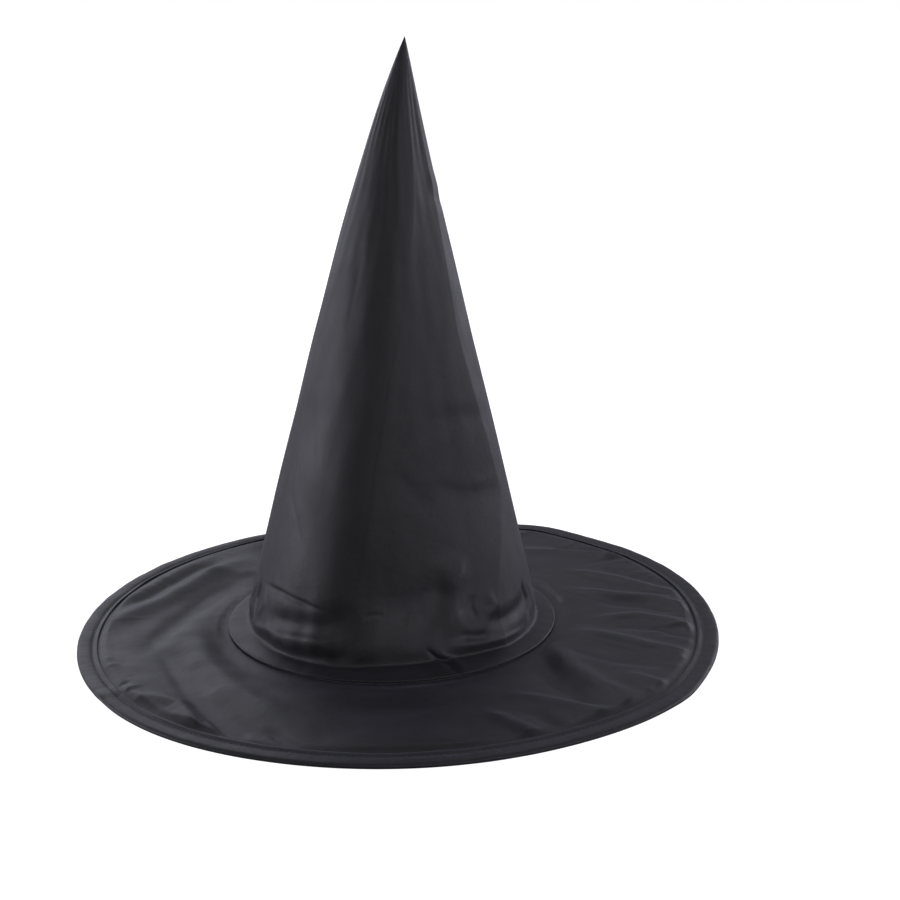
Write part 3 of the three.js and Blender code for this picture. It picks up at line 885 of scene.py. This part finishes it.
def make_brim():
    make_ply("brim_top", "brim_top_cloth", BRIM_SATIN, 2.75, CLOTH, 1080, 1.0, top_relief)
    make_ply("brim_board", "brim_stiffener", LINING, 2.10, 0.6, 240, 5.0, calm)
    thin = CLOTH * 0.7
    make_ply("brim_under", "brim_under_cloth", BRIM_SATIN, 1.35, thin, 480, 2.0, under_relief)


# ---------------------------------------------------------------- bound edge
# The tape's outer face, from its hem below, round the edge, to its hem on top: (radius, height).
TAPE_SECTION = [
    (178.0, 0.72), (178.6, 0.52), (179.6, 0.45), (180.6, 0.55), (181.25, 0.66), (181.9, 0.52), (182.8, 0.28),
    (184.0, 0.06), (185.6, 0.02), (187.2, 0.03), (188.4, 0.14), (189.3, 0.52), (189.85, 1.1), (190.0, 1.7),
    (189.8, 2.35), (189.2, 2.95), (188.2, 3.3), (186.8, 3.44), (185.2, 3.46), (183.8, 3.38), (182.6, 3.22),
    (181.8, 2.94), (181.25, 2.72), (180.6, 2.94), (179.8, 3.18), (179.0, 3.40), (178.3, 3.56), (177.9, 3.60),
]
LAP_AT = -58.5
LAP_BEFORE, LAP_AFTER = 2.6, 1.9  # degrees that the lap reaches to each side
LAP_COLUMNS = 34
TAPE_MIDDLE = 1.7  # the height that parts the tape's upper face from its lower


def tape_points(azimuth, section, out=0.0):
    """The tape's outer face round the whole edge, as rows along the section and columns round the brim."""
    section = np.array(section, float)
    r, z = section[:, 0][:, None], section[:, 1][:, None]
    a = azimuth[None, :]
    angle = np.radians(a)
    normal_r, normal_z = outward(section)
    top = z > TAPE_MIDDLE
    hem = np.exp(-(((r - 178) / 1.7) ** 2))
    flare = np.where(top, 0.15 + 0.22 * waves(71, 30, angle, r * 0, 100, 14, low=3), 0.0) * hem
    soft = 0.08 * waves(73, 60, angle, r * 6, 300, 20, low=12)
    soft = soft + 0.018 * waves(79, 240, angle, r * 9, 300, 26, low=80)
    channel = smooth((r - 181.4) / 1.5)
    swell = np.where(top, soft * (0.35 + channel), soft * 0.2)
    pull = stitch_pull(a, r, EDGE_STITCHES, 0.75)
    # slanting drag lines between the stitches and the rim
    drag = np.sin(math.pi * 2 * (a / 360 * EDGE_STITCHES / 4 + (r - 181) * 0.05)) * 0.02 * channel * top
    lift = swell + drag - 0.17 * pull * np.where(top, 1, 0.4) + out
    radius = r + normal_r * lift
    height = z + normal_z * lift + flare
    # the lower face stays above the table
    height = np.where(top, height, np.maximum(height, 0.02))
    return brim_place(np.broadcast_to(a, height.shape), radius, height)


def make_binding():
    columns = EDGE_STITCHES * 4
    azimuth = even_round(columns)
    section = resampled(rounded(TAPE_SECTION, 1), count=40)
    points = tape_points(azimuth, section).reshape(-1, 3)
    step = lengths_along(section)
    faces = grid_faces(len(section), columns)
    binding = make_object("binding_tape", points, faces, EDGE_SATIN,
                          tape_uv(step, azimuth, BRIM_RADIUS))
    solidify(binding, 0.36)
    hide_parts("edge_binding")
    return section


def make_lap(section):
    """The tape's end, turned under and laid over its start. Its edge is a soft double fold."""
    kept = section[section[:, 1] > 0.9]
    azimuth = np.linspace(LAP_AT - LAP_BEFORE, LAP_AT + LAP_AFTER, LAP_COLUMNS)
    share = np.linspace(0, 1, LAP_COLUMNS)
    # thick at its folded end, and sinking into the tape at the other
    folded_end = np.sqrt(np.clip(1 - ((share - 0.10) / 0.10).clip(-1, 0) ** 2, 0, 1))
    out = 0.38 * folded_end * (1 - smooth((share - 0.45) / 0.55))
    points = tape_points(azimuth, kept, out[None, :] - 0.03).reshape(-1, 3)
    faces = grid_faces(len(kept), LAP_COLUMNS, close_columns=False)
    lap = make_object("binding_lap", points, faces, EDGE_SATIN,
                      tape_uv(lengths_along(kept), azimuth, BRIM_RADIUS))
    solidify(lap, 0.3)
    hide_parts("edge_binding")


def make_edge_stitches():
    top, below = [], []
    for i in range(EDGE_STITCHES):
        first = -180 + 360 * (i + 0.06) / EDGE_STITCHES
        last = -180 + 360 * (i + 0.94) / EDGE_STITCHES
        lifted = 0.42 if LAP_AT - LAP_BEFORE < first < LAP_AT + 1.0 else 0.0
        sway = 0.10 * math.sin(i * 1.7) + 0.08 * math.sin(i * 0.31)
        for rows, level in ((top, 2.80 + lifted), (below, 0.60)):
            radii = np.array([STITCH_RADIUS + 0.2 + sway] * 2)
            ends = brim_place(np.array([first, last]), radii, np.array([level] * 2))
            rows.append((tuple(ends[0]), tuple(ends[1])))
    needle = stitch_row("edge_needle_stitches", top, 0.21)
    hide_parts("edge_needle_thread")
    bobbin = stitch_row("edge_bobbin_stitches", below, 0.20, inward=(0, 0, -1))
    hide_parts("edge_bobbin_thread")


def rectangle(inner, outer, low, high):
    return [(inner, low), (outer, low), (outer, high), (inner, high)]


def strip_round(name, inner, outer, low, high, start, end, count, wall=None):
    """A flat steel strip that runs round inside the bound edge, or a flat sleeve if it has a wall."""
    azimuth = np.linspace(start, end, count)
    corners = rectangle(inner, outer, low, high)
    if wall:
        corners += rectangle(inner + wall, outer - wall, low + wall, high - wall)
    rows = [brim_place(azimuth, np.full(count, float(r)), np.full(count, float(z))) for r, z in corners]
    points = np.stack(rows, axis=1)
    faces = []
    for i in range(count - 1):
        for c in range(4):
            d = (c + 1) % 4
            a, b = i * len(rows), (i + 1) * len(rows)
            faces.append([a + c, a + d, b + d, b + c])
            if wall:
                faces.append([a + 4 + d, a + 4 + c, b + 4 + c, b + 4 + d])
    last = (count - 1) * len(rows)
    if wall:
        for c in range(4):
            d = (c + 1) % 4
            faces.append([c, c + 4, d + 4, d])
            faces.append([last + d, last + d + 4, last + c + 4, last + c])
    else:
        faces += [[3, 2, 1, 0], [last, last + 1, last + 2, last + 3]]
    strip = make_object(name, points.reshape(-1, 3), faces, STEEL)
    strip.data.polygons.foreach_set("use_smooth", [False] * len(strip.data.polygons))
    return strip


HOOP_WIDTH = 3.8
HOOP_JOINT = 90 + math.degrees(1.01)  # degrees round from the front to where the hoop's ends meet


def make_hoop():
    low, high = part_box("brim_hoop")
    outer = high.x / MM
    inner = outer - HOOP_WIDTH
    ends = HOOP_JOINT + 0.2, HOOP_JOINT + 359.8
    hoop = strip_round("hoop_strip", inner, outer, low.z / MM, high.z / MM, *ends, 480)
    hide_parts("brim_hoop")
    low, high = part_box("hoop_joiner")
    ends = HOOP_JOINT - 3.3, HOOP_JOINT + 3.3
    sleeve = strip_round("hoop_sleeve", inner - 0.6, outer + 0.6, low.z / MM, high.z / MM, *ends, 12,
                         wall=0.35)
    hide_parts("hoop_joiner")


# ---------------------------------------------------------------- head seam
def ring_points(azimuth, section):
    """A section taken round the head seam, slightly rippled."""
    angle = np.radians(azimuth[None, :])
    flat_r, flat_z = section[:, 0][:, None], section[:, 1][:, None]
    r = flat_r + 0.12 * waves(81, 50, angle, flat_r * 5, 200, 16, low=8)
    z = flat_z + 0.12 * waves(83, 60, angle, flat_r * 7, 200, 18, low=8)
    return np.stack(np.broadcast_arrays(CROWN_X + r * np.sin(angle), -r * np.cos(angle), z), axis=-1)


def ring_marks(count, radius, height):
    """The two ends of each stitch in a row round the head seam."""
    marks = []
    for i in range(count):
        angles = [2 * math.pi * (i + share) / count for share in (0.1, 0.9)]
        marks.append([(CROWN_X + radius * math.sin(a), -radius * math.cos(a), height) for a in angles])
    return marks


def make_head_tape():
    """The tape folded over the raw plies of the head seam, its row of stitches, and the seam's own."""
    section = [(94, 2.7), (92.5, 2.62), (90.5, 2.58), (88.4, 2.6), (87, 2.72), (86.45, 3.2), (86.35, 4.1),
               (86.5, 5.0), (87.1, 5.5), (88.6, 5.6), (91.0, 5.58), (93.6, 5.5)]
    section = resampled(rounded(section, 1), count=26)
    columns = 720
    azimuth = even_round(columns)
    points = ring_points(azimuth, section).reshape(-1, 3)
    step = lengths_along(section)
    faces = grid_faces(len(section), columns)[:, ::-1]
    tape = make_object("head_tape_fold", points, faces, TAPE, tape_uv(step, azimuth, 90))
    solidify(tape, 0.36, 1.0)
    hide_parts("head_seam_binding")
    stitches = stitch_row("head_tape_stitches", ring_marks(190, 91.6, 2.12), 0.2,
                          inward=(0, 0, -1))
    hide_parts("head_binding_stitching")
    join = stitch_row("head_seam_stitches", ring_marks(200, 95.25, 4.88), 0.08)
    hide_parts("head_seam_stitching")


def make_label():
    """A blank ribbon caught under the head tape, bent up along the inside of the wall, with a soft curl."""
    turn = math.radians(180) - 0.35
    path = rounded([(90.6, 1.98), (87.5, 1.9), (84.6, 2.4), (82.9, 5), (81.9, 10), (80.2, 17), (77.6, 24),
                    (74.8, 30.0)], 2)
    path = resampled(path, count=30)
    across = np.linspace(-10, 10, 18)
    points, uv = [], []
    walked = 0.0
    for i, (r, z) in enumerate(path):
        if i:
            walked += float(np.linalg.norm(path[i] - path[i - 1]))
        loose = smooth(max(0.0, (z - 6) / 24))
        for s in across:
            curl = 1.2 * loose * (s / 10) ** 2 + 0.5 * loose * math.sin(s * 0.35 + i * 0.12)
            y = curl - r
            sideways = s * math.cos(turn) - y * math.sin(turn)
            points.append((CROWN_X + sideways, s * math.sin(turn) + y * math.cos(turn), z))
            uv.append((s, walked))
    faces = grid_faces(30, 18, close_columns=False)
    label = make_object("label_ribbon", points, faces, LABEL, uv)
    solidify(label, 0.25, 0.0)
    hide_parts("care_label")


def finish_cad():
    """The plies inside the head seam are the CAD's own solid, in felted material."""
    plies = bpy.data.objects["head_seam_allowance"]
    plies.data.materials.clear()
    plies.data.materials.append(LINING)


make_lining()
make_crown_seam()
make_brim()
tape_section = make_binding()
make_lap(tape_section)
make_edge_stitches()
make_hoop()
make_head_tape()
make_label()
finish_cad()


# ---------------------------------------------------------------- camera, light and floor
COOL = (0.93, 0.93, 1.06)
MIDDLE = Vector((0, 0, 0.12))


def make_camera():
    distance, elevation = 1.05, math.radians(21.84)
    pitch, yaw, roll = (math.radians(a) for a in (16.20, 1.81, -0.92))
    camera = bpy.data.objects.new("camera", bpy.data.cameras.new("camera"))
    scene.collection.objects.link(camera)
    scene.camera = camera
    camera.data.lens = 70.6
    camera.data.sensor_width = 36.0
    camera.data.clip_start = 0.05
    camera.data.clip_end = 60
    ahead = Vector((math.sin(yaw) * math.cos(pitch), math.cos(yaw) * math.cos(pitch), -math.sin(pitch)))
    right = ahead.cross(Vector((0, 0, 1))).normalized()
    up = right.cross(ahead)
    tilted = math.cos(roll) * right + math.sin(roll) * up
    over = -math.sin(roll) * right + math.cos(roll) * up
    place = Vector((0, -distance * math.cos(elevation), distance * math.sin(elevation)))
    camera.matrix_world = Matrix.Translation(place) @ Matrix((tilted, over, -ahead)).transposed().to_4x4()


def area_light(name, place, size, power):
    """A soft cool light aimed at the hat: place and size in metres, power in watts."""
    light = bpy.data.objects.new(name, bpy.data.lights.new(name, "AREA"))
    light.data.shape = "RECTANGLE"
    light.data.size, light.data.size_y = size
    light.data.energy = power
    light.data.color = COOL
    scene.collection.objects.link(light)
    light.location = place
    light.rotation_euler = (MIDDLE - Vector(place)).to_track_quat("-Z", "Y").to_euler()


def make_world():
    """A dim and nearly even room, which is plain white where the camera sees it."""
    world = bpy.data.worlds.new("room")
    scene.world = world
    world.use_nodes = True
    tree = world.node_tree
    coords = node(tree, "ShaderNodeTexCoord")
    split = node(tree, "ShaderNodeSeparateXYZ")
    tree.links.new(coords.outputs["Generated"], split.inputs[0])
    bright = spread(tree, split.outputs["Y"], -0.6, 0.6, 0.16, 0.14)
    seen = node(tree, "ShaderNodeLightPath").outputs["Is Camera Ray"]
    tree.links.new(math_node(tree, "MAXIMUM", bright, seen), tree.nodes["Background"].inputs["Strength"])
    tree.nodes["Background"].inputs["Color"].default_value = (1, 1, 1, 1)


def make_floor():
    """A pale floor that is plain white to the camera, and grey to all other rays."""
    made, tree, shader = new_material("floor")
    shader.inputs["Base Color"].default_value = (0.42, 0.42, 0.42, 1)
    shader.inputs["Roughness"].default_value = 1.0
    shader.inputs["Specular IOR Level"].default_value = 0.0
    shader.inputs["Emission Color"].default_value = (1, 1, 1, 1)
    seen = node(tree, "ShaderNodeLightPath").outputs["Is Camera Ray"]
    tree.links.new(seen, shader.inputs["Emission Strength"])
    mesh = bpy.data.meshes.new("floor")
    half, low = 8.0, -0.0004
    mesh.from_pydata([(-half, -half, low), (half, -half, low), (half, half, low), (-half, half, low)], [],
                     [(0, 1, 2, 3)])
    mesh.materials.append(made)
    floor = bpy.data.objects.new("floor", mesh)
    scene.collection.objects.link(floor)


make_camera()
make_world()
make_floor()
for light in (
    ("left", (-1.8, 0.1, 0.28), (1.2, 0.6), 10.0),
    ("left_behind", (-1.4, 1.2, 0.45), (1.2, 0.7), 3.0),
    ("left_in_front", (-1.5, -0.9, 0.5), (1.0, 0.7), 1.5),
    ("behind", (-0.7, 1.5, 0.6), (1.0, 0.6), 3.2),
    ("right", (1.8, 0.3, 0.35), (1.2, 0.7), 7.0),
    ("right_behind", (1.4, 1.2, 0.45), (1.2, 0.7), 5.0),
    ("right_in_front", (1.3, -1.2, 0.5), (1.2, 0.8), 6.0),
    ("above_behind", (0, 1.3, 1.8), (1.4, 0.9), 6.0),
    ("above_in_front", (0.3, -1.6, 1.3), (1.6, 1.2), 6.0),
):
    area_light(*light)
